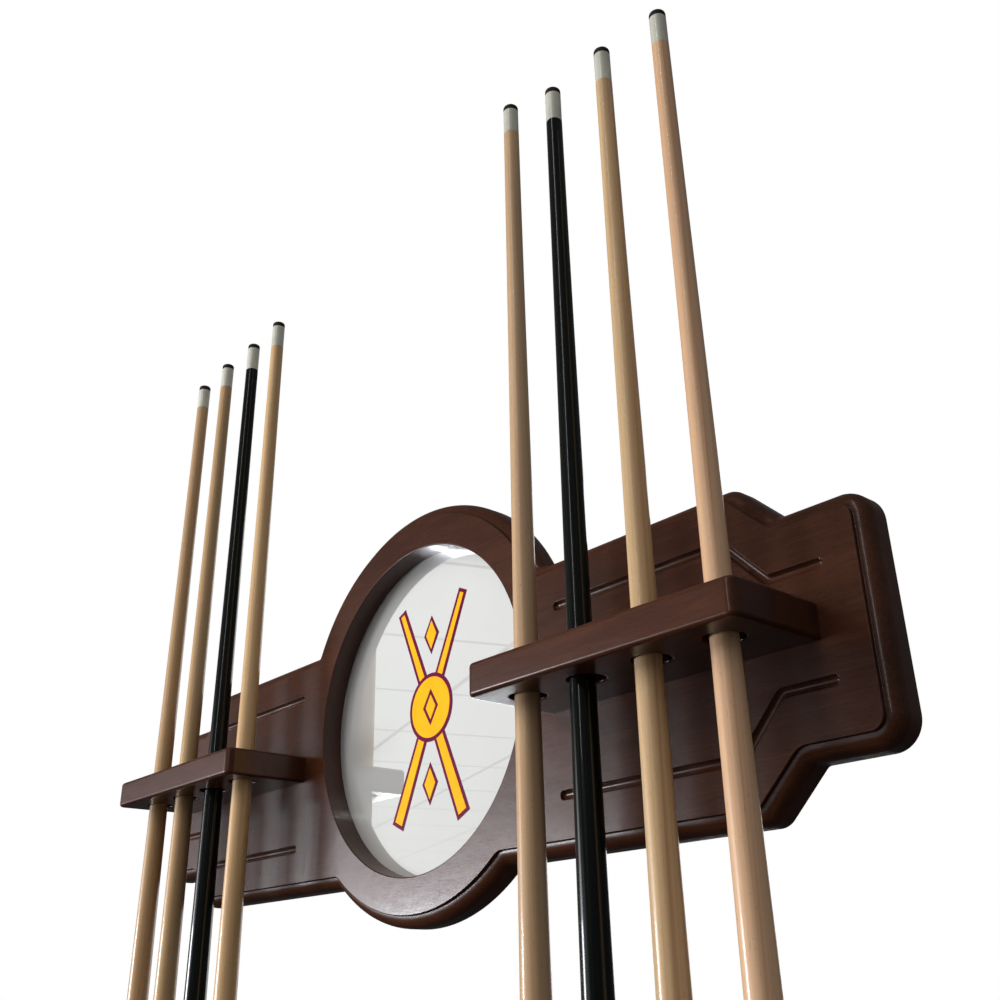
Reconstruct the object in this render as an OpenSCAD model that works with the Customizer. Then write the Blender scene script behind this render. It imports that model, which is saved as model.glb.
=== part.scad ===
// Wall cue rack: an upper board with a round mirror and two drilled shelves,
// a lower board with two cup shelves, and eight cues standing in it.
// +X runs along the wall, +Y into the wall, +Z up. The origin is the centre
// of the mirror, on the wall plane. Millimetres.

/* [Upper board] */
// Overall length of the board
board_len = 879.6; // [850:0.2:910]
// Thickness of the board
board_t = 24; // [24:0.5:28]
// Height of the tall part of each wing
wing_h = 216.4; // [205:0.2:225]
// Height of the narrow end of each wing
end_h = 154.8; // [148:0.2:162]
// Height of the wings' centre line from the mirror's centre
wing_z = -30.4; // [-36:0.1:-24]
// Distance from the middle to the start of the step
step_in_x = 344.5; // [340:0.5:350]
// Distance from the middle to the end of the step
step_out_x = 377; // [372:0.5:384]
// Outer radius of the ring round the mirror
ring_r = 176; // [172:0.5:182]
// Radius of the four end corners
end_r = 19; // [14:1:24]
// Radius of the outward corners at the steps
step_r = 14; // [11:1:18]
// Radius of the inward corners
cove_r = 5; // [3:0.5:8]

/* [Moulded edge] */
// Radius of the rounded edge, which is also the inset of the raised face
edge_r = 9.5; // [7:0.5:10]
// Height of the step from the rounding to the raised face
edge_step = 3; // [2:0.5:4]
// Facets round the quarter curve
edge_facets = 5; // [3:1:7]

/* [Routed grooves] */
// Width of the grooves
groove_w = 6.5; // [5:0.5:8]
// Depth of the grooves
groove_d = 3; // [2:0.5:4]
// Distance of the wing grooves from the wings' centre line
groove_z = 69; // [66:0.5:72]
// Distance of the end grooves from the wings' centre line
groove_end_z = 35.5; // [33:0.5:38]

/* [Mirror] */
// Radius of the opening in the board
opening_r = 138; // [134:1:140]
// Setback of the glass behind the board's face
glass_setback = 19.4; // [17:0.1:19.4]
// Thickness of the glass
glass_t = 3; // [3:0.1:3.2]
// Radius of the glass
glass_r = 143.5; // [142:0.5:145]
// Radius of the back panel
panel_r = 152; // [150:0.5:154]

/* [Shelves] */
// Distance from the middle to the inner end of each shelf
shelf_x = 167.5; // [165:0.5:172]
// Length of each shelf
shelf_len = 231.2; // [228:0.2:236]
// Depth of each shelf from the board's face
shelf_depth = 79.6; // [76:0.2:84]
// Thickness of the drilled shelves
shelf_t = 24; // [22:0.5:26]
// Height of the drilled shelves' middle
shelf_z = -29; // [-31:0.5:-27]
// Rounding of the shelves' edges
shelf_edge = 3; // [2:0.5:4]
// Radius of the shelves' front corners, seen from above
shelf_corner = 7; // [5:0.5:10]
// Diameter of the holes for the cues
hole_d = 26; // [25:0.5:28]
// Distance from the middle to the first hole
hole_x = 196.5; // [195:0.5:198]
// Pitch of the holes
hole_pitch = 56.4; // [55:0.1:57.4]
// Distance of the holes' axes from the wall
hole_y = 72; // [70:0.5:74]

/* [Lower rest] */
// Height of the lower board's centre line
rest_z = -1020; // [-1040:1:-1016]
// Height of the lower board's middle part
rest_h = 112; // [108:1:120]
// Height of the lower board's ends
rest_end_h = 76; // [72:1:84]
// Thickness of the cup shelves
cup_shelf_t = 30; // [28:1:34]
// Diameter of the cups for the butts
cup_d = 36; // [35:0.5:38]
// Depth of the cups
cup_depth = 14; // [12:0.5:16]
// Thickness of the felt in the cups
felt_t = 1.5; // [1:0.1:2]

/* [Cues] */
// Height of the cups' felt, where the cues stand
stand_z = -1016; // [-1020:1:-1012]
// Tip heights of the left cues, from the outer end inwards
left_tips = [454, 458, 458, 459.5]; // [440:0.5:500]
// Tip heights of the right cues, from the mirror outwards
right_tips = [487.5, 464.5, 464, 457.5]; // [440:0.5:500]
// How far the left cues stand from their holes' axes along X
left_dx = [-1.2, -1, 1.1, 0.2]; // [-3:0.1:3]
// How far the left cues stand from their holes' axes along Y
left_dy = [-1.2, -0.8, 0.4, 0]; // [-3:0.1:3]
// How far the right cues stand from their holes' axes along X
right_dx = [-0.7, -2, -1.2, 0]; // [-3:0.1:3]
// How far the right cues stand from their holes' axes along Y
right_dy = [0, -2, -1.8, 0]; // [-3:0.1:3]
// Diameter at the tip
tip_d = 13; // [12:0.25:13.5]
// Height of the leather tip
tip_h = 6.5; // [5:0.5:8]
// Length of the ferrules of the four left cues, outermost first
left_ferrules = [24, 24.5, 27.5, 25.5]; // [20:0.5:30]
// Length of the ferrules of the four right cues, innermost first
right_ferrules = [25, 29, 29, 27.5]; // [20:0.5:30]
// Diameter at the butt
butt_d = 30; // [29:0.25:31]
// Length of the dark butt
butt_len = 400; // [360:10:440]
// Height of the rubber bumper
bumper_h = 12; // [10:1:14]

/* [Hidden] */
$fn = 64;
face_y = -board_t;
shelf_mid = shelf_x + shelf_len/2;
glass_y = -board_t + glass_setback;      // front of the glass
panel_t = -glass_y - glass_t;            // the panel fills up to the wall plane
cup_top = stand_z - felt_t + cup_depth;
film_t = 0.25;
hanger_x = 300;
hanger_z = [wing_z + 70, rest_z + 16];
screw_xs = [for (i = [0:2]) hole_x + (i + 0.5)*hole_pitch];
dowel_xs = [shelf_x + 14, shelf_x + shelf_len - 16];
mahogany = "#3a1d17";
maple = "#c9a67a";
black = "#101313";
steel = "#b9bbbd";

// ---- outline functions: every sample is [x, z, nx, nz], a point on the
// ---- outline and its outward normal, so an inset keeps the point count

// s = 1 for an outward corner, -1 for an inward one
function arc(c, r, a0, a1, n, s) = [for (i = [0:n]) let (a = a0 + (a1 - a0)*i/n)
  [c[0] + s*r*cos(a), c[1] + s*r*sin(a), cos(a), sin(a)]];
function flip(p) = [for (i = [len(p) - 1:-1:0]) [-p[i][0], p[i][1], -p[i][2], p[i][3]]];
function dirv(a) = [cos(a), sin(a)];
// centre of a fillet at the sharp corner p between normals at a and b
function fc(p, a, b, r, s) = let (u = dirv(a), v = dirv(b))
  p - s*r*(u + v)/(1 + u*v);
// normal angle of the step's slope, for a half-height hi stepping to lo
function slope(hi, lo) = atan2(step_out_x - step_in_x, hi - lo);
// right-hand end of a board, from its lower long edge round to its upper one
function wing(z, hi, lo, xe) = let (a = slope(hi, lo)) concat(
  arc(fc([step_in_x, z - hi], -90, -a, step_r, 1), step_r, -90, -a, 4, 1),
  arc(fc([step_out_x, z - lo], -a, -90, cove_r, -1), cove_r, -a, -90, 4, -1),
  arc([xe - end_r, z - lo + end_r], end_r, -90, 0, 7, 1),
  arc([xe - end_r, z + lo - end_r], end_r, 0, 90, 7, 1),
  arc(fc([step_out_x, z + lo], 90, a, cove_r, -1), cove_r, 90, a, 4, -1),
  arc(fc([step_in_x, z + hi], a, 90, step_r, 1), step_r, a, 90, 4, 1));
// inward corner between a long edge at height z and the ring
function ring_cx(z) = sqrt(pow(ring_r + cove_r, 2) - z*z);
function upper_outline() = let (
    hi = wing_h/2, lo = end_h/2, xe = board_len/2,
    zt = wing_z + hi + cove_r, zb = wing_z - hi - cove_r,
    at = atan2(zt, ring_cx(zt)), ab = atan2(zb, ring_cx(zb)),
    right = concat(
      arc([ring_cx(zb), zb], cove_r, ab, -90, 5, -1),
      wing(wing_z, hi, lo, xe),
      arc([ring_cx(zt), zt], cove_r, 90, at, 5, -1)),
    top = arc([0, 0], ring_r, at, 180 - at, 44, 1),
    low = arc([0, 0], ring_r, 180 - ab, 360 + ab, 26, 1))
  concat(right, [for (i = [1:len(top) - 2]) top[i]], flip(right),
    [for (i = [1:len(low) - 2]) low[i]]);
function lower_outline() = let (right = wing(rest_z, rest_h/2, rest_end_h/2, board_len/2))
  concat(right, flip(right));
// a shelf seen from above: square at the board, rounded at the front
function shelf_outline(x0, x1, yb, yf) = concat(
  [[x1, yb, 1, 0], [x0, yb, -1, 0]],
  arc([x0 + shelf_corner, yf + shelf_corner], shelf_corner, 180, 270, 6, 1),
  arc([x1 - shelf_corner, yf + shelf_corner], shelf_corner, 270, 360, 6, 1));

// profiles are lists of [inset, height]
function board_profile() = let (h = board_t - edge_step - edge_r) concat([[0, 0]],
  [for (i = [0:edge_facets]) let (a = 90*i/edge_facets)
    [edge_r*(1 - cos(a)), h + edge_r*sin(a)]],
  [[edge_r, board_t]]);
function shelf_profile(t) = let (r = shelf_edge) concat(
  [for (i = [0:3]) [r*(1 - sin(30*i)), r*(1 - cos(30*i))]],
  [for (i = [0:3]) [r*(1 - cos(30*i)), t - r*(1 - sin(30*i))]]);

// solid with the outline s and the profile p, rising along +Z
module loft(s, p) {
  n = len(s); m = len(p);
  polyhedron(
    points = [for (k = [0:m - 1], i = [0:n - 1])
      [s[i][0] - p[k][0]*s[i][2], s[i][1] - p[k][0]*s[i][3], p[k][1]]],
    faces = concat([[for (i = [0:n - 1]) i]],
      [[for (i = [n - 1:-1:0]) (m - 1)*n + i]],
      [for (k = [0:m - 2], i = [0:n - 1])
        [k*n + i, (k + 1)*n + i, (k + 1)*n + (i + 1)%n, k*n + (i + 1)%n]]));
}
// a board as flat layers: each layer keeps the mean inset of its band of the
// rounded edge
module layers(s, p) {
  slab(s, 0, 0, p[1][1]);
  for (k = [2:len(p) - 2]) slab(s, (p[k - 1][0] + p[k][0])/2, p[1][1]/2, p[k][1]);
  slab(s, p[len(p) - 1][0], p[1][1]/2, p[len(p) - 1][1]);
}
module slab(s, inset, h0, h1) translate([0, 0, h0]) linear_extrude(h1 - h0)
  polygon([for (q = s) [q[0] - inset*q[2], q[1] - inset*q[3]]]);
// stands a drawing on the wall plane, rising towards the room
module on_wall() rotate([90, 0, 0]) children();
// cylinder along Y from y0 to y1
module ycyl(x, z, y0, y1, r, r2 = undef) translate([x, y0, z])
  rotate([-90, 0, 0]) cylinder(h = y1 - y0, r1 = r, r2 = is_undef(r2) ? r : r2);
module both() { children(); mirror([1, 0, 0]) children(); }

// ---- grooves

// outline of a groove along the path p: mitred corners and round ends
function unit(v) = v/norm(v);
function left_of(v) = [-v[1], v[0]];
function side_pts(p, w) = [for (i = [1:len(p) - 2])
  let (u = left_of(unit(p[i] - p[i - 1])), v = left_of(unit(p[i + 1] - p[i])))
  p[i] + w*(u + v)/(1 + u*v)];
function cap_pts(c, d, w) = [for (k = [-90:15:90]) let (a = atan2(d[1], d[0]) + k)
  c + w*dirv(a)];
function groove_outline(p, w) = let (n = len(p) - 1, right = side_pts(p, -w),
    left = side_pts(p, w)) concat(
  cap_pts(p[0], p[0] - p[1], w), right, cap_pts(p[n], p[n] - p[n - 1], w),
  [for (i = [len(left) - 1:-1:0]) left[i]]);
module groove_run(pts) translate([0, 0, board_t - groove_d])
  linear_extrude(groove_d + 1) polygon(groove_outline(pts, groove_w/2));
module upper_grooves() on_wall() both() for (s = [-1, 1])
  groove_run([[178, wing_z + s*groove_z], [334, wing_z + s*groove_z],
    [366, wing_z + s*groove_end_z], [403.5, wing_z + s*groove_end_z]]);
module lower_grooves() on_wall() for (s = [-1, 1])
  groove_run([[-330, rest_z + s*34], [330, rest_z + s*34]]);

// ---- hangers and fixings

module hanger_at() both() for (z = hanger_z) translate([hanger_x, 0, z]) children();
module hanger_pocket() {
  translate([-8.2, -2, -22.2]) cube([16.4, 3, 44.4]);
  translate([-7, -10, -12.5]) cube([14, 9, 25]);
  for (z = [-17.5, 17.5]) ycyl(0, z, -14.05, 1, 1.75);
}
module keyhole_plate() difference() {
  translate([-8, -2, -22]) cube([16, 2, 44]);
  ycyl(0, -6, -3, 1, 4.8);
  translate([-2.4, -3, -6]) cube([4.8, 4, 12]);
  ycyl(0, 6, -3, 1, 2.4);
  for (z = [-17.5, 17.5]) { ycyl(0, z, -3, 1, 1.8); ycyl(0, z, -1.8, 0.1, 1.7, 3.6); }
}
module keyhole_screw() { ycyl(0, 0, -14, -1.7, 1.7); ycyl(0, 0, -1.8, 0, 1.65, 3.45); }
// shelf screws and dowels run along Y through the board into a shelf
module shelf_fix_holes(z) both() {
  for (x = screw_xs) {
    ycyl(x, z, -61, 1, 2.3);
    ycyl(x, z, -6, -3, 2.3, 4.6);
    ycyl(x, z, -3.01, 1, 4.6);
  }
  for (x = dowel_xs) ycyl(x, z, face_y - 16.5, face_y + 14.5, 4.05);
}
module shelf_screw() { ycyl(0, 0, -60, -5.9, 2.25); ycyl(0, 0, -6, -3, 2.25, 4.5); }

// ---- upper board

module upper_backboard() color(mahogany) difference() {
  on_wall() layers(upper_outline(), board_profile());
  rotate([90, 0, 0]) rotate_extrude($fn = 128) polygon([[0, -1], [panel_r + 0.3, -1],
    [panel_r + 0.3, panel_t], [glass_r + 0.5, panel_t], [glass_r + 0.5, -glass_y],
    [opening_r, -glass_y], [opening_r, board_t + 1], [0, board_t + 1]]);
  for (a = [22.5:45:359]) ycyl(147.8*cos(a), 147.8*sin(a), -11, 0, 1.25);
  upper_grooves();
  hanger_at() hanger_pocket();
  shelf_fix_holes(shelf_z);
}
module mirror_glass() color("#dfe3e6") ycyl(0, 0, glass_y, glass_y + glass_t, glass_r);
module mirror_back_panel() color("#3b2a20") difference() {
  ycyl(0, 0, -panel_t, 0, panel_r);
  for (a = [22.5:45:359]) {
    ycyl(147.8*cos(a), 147.8*sin(a), -3, 1, 1.3);
    ycyl(147.8*cos(a), 147.8*sin(a), -1.2, 0.1, 1.3, 2.6);
  }
}
module back_panel_screws() color(steel) for (a = [22.5:45:359])
  translate([147.8*cos(a), 0, 147.8*sin(a)]) {
    ycyl(0, 0, -10.8, -1.1, 1.2);
    ycyl(0, 0, -1.15, 0, 1.2, 2.45);
  }

// ---- emblem: two crossed cues behind a ball with a diamond

module bar2(len, wa, wb) polygon([[-wb/2, -len/2], [wb/2, -len/2], [wa/2, len/2], [-wa/2, len/2]]);
module diamond2(w, h) polygon([[0, -h/2], [w/2, 0], [0, h/2], [-w/2, 0]]);
module crossed(grow) for (a = [-25, 25]) rotate(a) bar2(202 + 2*grow, 5 + 2*grow, 10.5 + 2*grow);
module emblem_border() color("#7a1e4b") on_wall() translate([0, 0, -glass_y])
  linear_extrude(film_t) {
    difference() {
      union() {
        crossed(3.2);
        circle(r = 29.5);
        for (s = [-1, 1]) translate([0, s*64]) diamond2(21, 35);
      }
      circle(r = 3);
    }
  }
module emblem_fill() color("#ffc627") on_wall() translate([0, 0, -glass_y + film_t])
  linear_extrude(film_t) {
    difference() { crossed(0); circle(r = 29.5); }
    difference() { circle(r = 26); diamond2(21, 32); }
    diamond2(13.5, 21.5);
    for (s = [-1, 1]) translate([0, s*64]) diamond2(14.5, 26);
  }

// ---- shelves

module shelf(x0, z0, t) translate([0, 0, z0])
  loft(shelf_outline(x0, x0 + shelf_len, face_y, face_y - shelf_depth), shelf_profile(t));
module cue_shelf() color(mahogany) difference() {
  shelf(shelf_x, shelf_z - shelf_t/2, shelf_t);
  for (i = [0:3]) translate([hole_x + i*hole_pitch, -hole_y, shelf_z - 50])
    cylinder(h = 100, d = hole_d);
  shelf_fix_holes(shelf_z);
}
module cup_shelf() color(mahogany) difference() {
  shelf(shelf_x, cup_top - cup_shelf_t, cup_shelf_t);
  for (i = [0:3]) translate([hole_x + i*hole_pitch, -hole_y, cup_top - cup_depth])
    cylinder(h = 50, d = cup_d);
  shelf_fix_holes(cup_top - cup_shelf_t/2);
}
module right_cue_shelf() cue_shelf();
module left_cue_shelf() mirror([1, 0, 0]) cue_shelf();
module right_cup_shelf() cup_shelf();
module left_cup_shelf() mirror([1, 0, 0]) cup_shelf();
module shelf_screws() color(steel) both() for (z = [shelf_z, cup_top - cup_shelf_t/2], x = screw_xs)
  translate([x, 0, z]) shelf_screw();
module shelf_dowels() color("#d8b98a") both() for (z = [shelf_z, cup_top - cup_shelf_t/2], x = dowel_xs)
  ycyl(x, z, face_y - 16, face_y + 14, 4);
module keyhole_plates() color(steel) hanger_at() keyhole_plate();
module keyhole_screws() color(steel) hanger_at() for (z = [-17.5, 17.5])
  translate([0, 0, z]) keyhole_screw();

// ---- lower rest

module lower_backboard() color(mahogany) difference() {
  on_wall() layers(lower_outline(), board_profile());
  lower_grooves();
  hanger_at() hanger_pocket();
  shelf_fix_holes(cup_top - cup_shelf_t/2);
}
module cup_felts() color("#26402f") both() for (i = [0:3])
  translate([hole_x + i*hole_pitch, -hole_y, stand_z - felt_t]) cylinder(h = felt_t, d = cup_d - 1);

// ---- cues: distances are measured down from the tip

// radius at a share t of the cue's length, slim at the front and fuller behind
function cue_r(t) = tip_d/2 + (butt_d - tip_d)/2*(1.32*pow(t, 1.45) - 0.32*pow(t, 3));
function run(len, a, b, n) = [for (i = [0:n]) let (s = a + (b - a)*i/n) [cue_r(s/len), -s]];
module at_tip(p, z) translate([p[0], p[1], z]) children();
module tip_of(p, z) color("#2a2320") at_tip(p, z) rotate_extrude() polygon(concat([[0, -tip_h]],
  [[cue_r(0), -tip_h], [cue_r(0), -2.2]],
  [for (a = [10:10:90]) [cue_r(0)*cos(a), -2.2 + 2.2*sin(a)]]));
module ferrule_of(p, z, fh) color("#c8cbc0") at_tip(p, z) rotate_extrude() polygon([
  [0, -tip_h], [cue_r(0), -tip_h], [cue_r(0), -tip_h - fh],
  [4.1, -tip_h - fh], [4.1, -tip_h - 6], [0, -tip_h - 6]]);
module shaft_of(p, z, c, fh) let (n = z - stand_z, a = tip_h + fh, b = n - butt_len)
  color(c) at_tip(p, z) rotate_extrude() polygon(concat(
    [[0, -b - 40], [0, -tip_h - 6.2], [4.05, -tip_h - 6.2], [4.05, -a]],
    run(n, a, b, 16), [[7, -b], [7, -b - 40]]));
module butt_of(p, z, c) let (n = z - stand_z, b = n - butt_len, e = n - bumper_h)
  color(c) at_tip(p, z) rotate_extrude() polygon(concat(
    [[7.05, -b]], run(n, b, e, 8),
    [[4.05, -e], [4.05, -e + 14], [0, -e + 14], [0, -b - 40.2], [7.05, -b - 40.2]]));
module bumper_of(p, z) let (n = z - stand_z, e = n - bumper_h)
  color("#161616") at_tip(p, z) rotate_extrude() polygon([
    [0, -n], [10, -n], [12, -n + 2], [13, -e - 1], [13, -e],
    [4, -e], [4, -e + 13.5], [0, -e + 13.5]]);
function l_at(i) = [left_dx[i - 1] - hole_x - (4 - i)*hole_pitch, left_dy[i - 1] - hole_y];
function r_at(i) = [right_dx[i - 1] + hole_x + (i - 1)*hole_pitch, right_dy[i - 1] - hole_y];
module l_cue(i, piece, c) cue_piece(l_at(i), left_tips[i - 1], piece, c, left_ferrules[i - 1]);
module r_cue(i, piece, c) cue_piece(r_at(i), right_tips[i - 1], piece, c, right_ferrules[i - 1]);
module cue_piece(p, z, piece, c, fh) {
  if (piece == "tip") tip_of(p, z);
  if (piece == "ferrule") ferrule_of(p, z, fh);
  if (piece == "shaft") shaft_of(p, z, c, fh);
  if (piece == "butt") butt_of(p, z, c);
  if (piece == "bumper") bumper_of(p, z);
}

upper_backboard();
mirror_glass();
mirror_back_panel();
back_panel_screws();
emblem_border();
emblem_fill();
left_cue_shelf();
right_cue_shelf();
shelf_screws();
shelf_dowels();
keyhole_plates();
keyhole_screws();
lower_backboard();
left_cup_shelf();
right_cup_shelf();
cup_felts();
l_cue(1, "tip", "#3b1c14");  // cue_l1_tip
l_cue(1, "ferrule", "#3b1c14");  // cue_l1_ferrule
l_cue(1, "shaft", maple);  // cue_l1_shaft
l_cue(1, "butt", "#3b1c14");  // cue_l1_butt
l_cue(1, "bumper", "#3b1c14");  // cue_l1_bumper
l_cue(2, "tip", "#3b1c14");  // cue_l2_tip
l_cue(2, "ferrule", "#3b1c14");  // cue_l2_ferrule
l_cue(2, "shaft", maple);  // cue_l2_shaft
l_cue(2, "butt", "#3b1c14");  // cue_l2_butt
l_cue(2, "bumper", "#3b1c14");  // cue_l2_bumper
l_cue(3, "tip", black);  // cue_l3_tip
l_cue(3, "ferrule", black);  // cue_l3_ferrule
l_cue(3, "shaft", black);  // cue_l3_shaft
l_cue(3, "butt", black);  // cue_l3_butt
l_cue(3, "bumper", black);  // cue_l3_bumper
l_cue(4, "tip", "#3b1c14");  // cue_l4_tip
l_cue(4, "ferrule", "#3b1c14");  // cue_l4_ferrule
l_cue(4, "shaft", maple);  // cue_l4_shaft
l_cue(4, "butt", "#3b1c14");  // cue_l4_butt
l_cue(4, "bumper", "#3b1c14");  // cue_l4_bumper
r_cue(1, "tip", "#3b1c14");  // cue_r1_tip
r_cue(1, "ferrule", "#3b1c14");  // cue_r1_ferrule
r_cue(1, "shaft", maple);  // cue_r1_shaft
r_cue(1, "butt", "#3b1c14");  // cue_r1_butt
r_cue(1, "bumper", "#3b1c14");  // cue_r1_bumper
r_cue(2, "tip", black);  // cue_r2_tip
r_cue(2, "ferrule", black);  // cue_r2_ferrule
r_cue(2, "shaft", black);  // cue_r2_shaft
r_cue(2, "butt", black);  // cue_r2_butt
r_cue(2, "bumper", black);  // cue_r2_bumper
r_cue(3, "tip", "#3b1c14");  // cue_r3_tip
r_cue(3, "ferrule", "#3b1c14");  // cue_r3_ferrule
r_cue(3, "shaft", maple);  // cue_r3_shaft
r_cue(3, "butt", "#3b1c14");  // cue_r3_butt
r_cue(3, "bumper", "#3b1c14");  // cue_r3_bumper
r_cue(4, "tip", "#3b1c14");  // cue_r4_tip
r_cue(4, "ferrule", "#3b1c14");  // cue_r4_ferrule
r_cue(4, "shaft", maple);  // cue_r4_shaft
r_cue(4, "butt", "#3b1c14");  // cue_r4_butt
r_cue(4, "bumper", "#3b1c14");  // cue_r4_bumper
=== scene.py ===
import math
import random

import bmesh
import bpy
from mathutils import Matrix, Vector, geometry


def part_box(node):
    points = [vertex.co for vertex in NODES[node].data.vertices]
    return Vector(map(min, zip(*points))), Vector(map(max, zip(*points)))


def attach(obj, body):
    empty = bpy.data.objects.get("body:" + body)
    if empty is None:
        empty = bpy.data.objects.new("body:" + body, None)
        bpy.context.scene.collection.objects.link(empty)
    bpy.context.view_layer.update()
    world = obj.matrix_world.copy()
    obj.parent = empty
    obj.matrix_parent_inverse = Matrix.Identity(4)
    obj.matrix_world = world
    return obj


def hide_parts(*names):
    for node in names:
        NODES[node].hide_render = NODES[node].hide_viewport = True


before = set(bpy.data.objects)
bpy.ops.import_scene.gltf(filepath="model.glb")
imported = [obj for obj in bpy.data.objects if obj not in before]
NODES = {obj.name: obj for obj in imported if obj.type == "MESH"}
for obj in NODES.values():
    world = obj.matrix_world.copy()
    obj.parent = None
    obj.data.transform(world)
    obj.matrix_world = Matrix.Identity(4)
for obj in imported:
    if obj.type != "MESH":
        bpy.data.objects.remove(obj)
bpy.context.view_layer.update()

SCENE = bpy.context.scene

# ---------------------------------------------------------------- sizes, mm
BOARD_LEN, BOARD_T = 879.6, 24.0
WING_H, END_H, WING_Z = 216.4, 154.8, -30.4
STEP_IN, STEP_OUT = 344.5, 377.0
RING_R, END_R, STEP_R, COVE_R = 176.0, 19.0, 14.0, 5.0
EDGE_R, EDGE_STEP = 9.5, 3.0
GROOVE_W, GROOVE_D = 6.5, 3.0
OPEN_R, GLASS_SET, GLASS_T, GLASS_R, PANEL_R = 138.0, 19.4, 3.0, 143.5, 152.0
SHELF_X, SHELF_LEN, SHELF_DEPTH, SHELF_T, SHELF_Z = 167.5, 231.2, 79.6, 24.0, -29.0
HOLE_D, HOLE_X, HOLE_PITCH, HOLE_Y = 26.0, 196.5, 56.4, 72.0
REST_Z, REST_H, REST_END_H = -1020.0, 112.0, 76.0
CUP_SHELF_T, CUP_D, CUP_DEPTH, FELT_T = 30.0, 36.0, 14.0, 1.5
STAND_Z, TIP_D, TIP_H = -1016.0, 13.0, 6.5
BUTT_D, BUTT_LEN, BUMPER_H = 30.0, 400.0, 12.0
CUP_TOP = STAND_Z - FELT_T + CUP_DEPTH
GLASS_Y = -BOARD_T + GLASS_SET
HANGER_X, HANGER_Z = 300.0, [WING_Z + 70, REST_Z + 16]
SCREW_XS = [HOLE_X + (i + 0.5) * HOLE_PITCH for i in range(3)]


def cosd(a):
    return math.cos(math.radians(a))


def sind(a):
    return math.sin(math.radians(a))


# ------------------------------------------------------ outlines [x, z, nx, nz]
def arc(c, r, a0, a1, n, s):
    out = []
    for i in range(n + 1):
        a = a0 + (a1 - a0) * i / n
        out.append((c[0] + s * r * cosd(a), c[1] + s * r * sind(a), cosd(a), sind(a)))
    return out


def flip(p):
    return [(-q[0], q[1], -q[2], q[3]) for q in reversed(p)]


def fillet_centre(p, a, b, r, s):
    u, v = (cosd(a), sind(a)), (cosd(b), sind(b))
    k = 1 + u[0] * v[0] + u[1] * v[1]
    return (p[0] - s * r * (u[0] + v[0]) / k, p[1] - s * r * (u[1] + v[1]) / k)


def wing(z, hi, lo, xe):
    a = math.degrees(math.atan2(STEP_OUT - STEP_IN, hi - lo))
    n1, n2 = 10, 16
    return (
        arc(fillet_centre((STEP_IN, z - hi), -90, -a, STEP_R, 1), STEP_R, -90, -a, n1, 1)
        + arc(fillet_centre((STEP_OUT, z - lo), -a, -90, COVE_R, -1), COVE_R, -a, -90, n1, -1)
        + arc((xe - END_R, z - lo + END_R), END_R, -90, 0, n2, 1)
        + arc((xe - END_R, z + lo - END_R), END_R, 0, 90, n2, 1)
        + arc(fillet_centre((STEP_OUT, z + lo), 90, a, COVE_R, -1), COVE_R, 90, a, n1, -1)
        + arc(fillet_centre((STEP_IN, z + hi), a, 90, STEP_R, 1), STEP_R, a, 90, n1, 1)
    )


def ring_cx(z):
    return math.sqrt((RING_R + COVE_R) ** 2 - z * z)


def upper_outline():
    hi, lo, xe = WING_H / 2, END_H / 2, BOARD_LEN / 2
    zt, zb = WING_Z + hi + COVE_R, WING_Z - hi - COVE_R
    at = math.degrees(math.atan2(zt, ring_cx(zt)))
    ab = math.degrees(math.atan2(zb, ring_cx(zb)))
    right = (
        arc((ring_cx(zb), zb), COVE_R, ab, -90, 12, -1)
        + wing(WING_Z, hi, lo, xe)
        + arc((ring_cx(zt), zt), COVE_R, 90, at, 12, -1)
    )
    top = arc((0, 0), RING_R, at, 180 - at, 64, 1)
    low = arc((0, 0), RING_R, 180 - ab, 360 + ab, 44, 1)
    return right + top[1:-1] + flip(right) + low[1:-1]


def lower_outline():
    right = wing(REST_Z, REST_H / 2, REST_END_H / 2, BOARD_LEN / 2)
    return right + flip(right)


def shelf_outline(x0, x1, yb, yf, corner=7.0):
    return (
        [(x1, yb, 1, 0), (x0, yb, -1, 0)]
        + arc((x0 + corner, yf + corner), corner, 180, 270, 12, 1)
        + arc((x1 - corner, yf + corner), corner, 270, 360, 12, 1)
    )


def circle_pts(cx, cz, r, n):
    return [(cx + r * cosd(360 * i / n), cz + r * sind(360 * i / n)) for i in range(n)]


def round_rect(cx, cz, w, h, r, n=4):
    out = []
    for sx, sz, a in ((1, 1, 0), (-1, 1, 90), (-1, -1, 180), (1, -1, 270)):
        for i in range(n + 1):
            b = a + 90 * i / n
            out.append((cx + sx * (w / 2 - r) + r * cosd(b), cz + sz * (h / 2 - r) + r * sind(b)))
    return out


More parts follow.
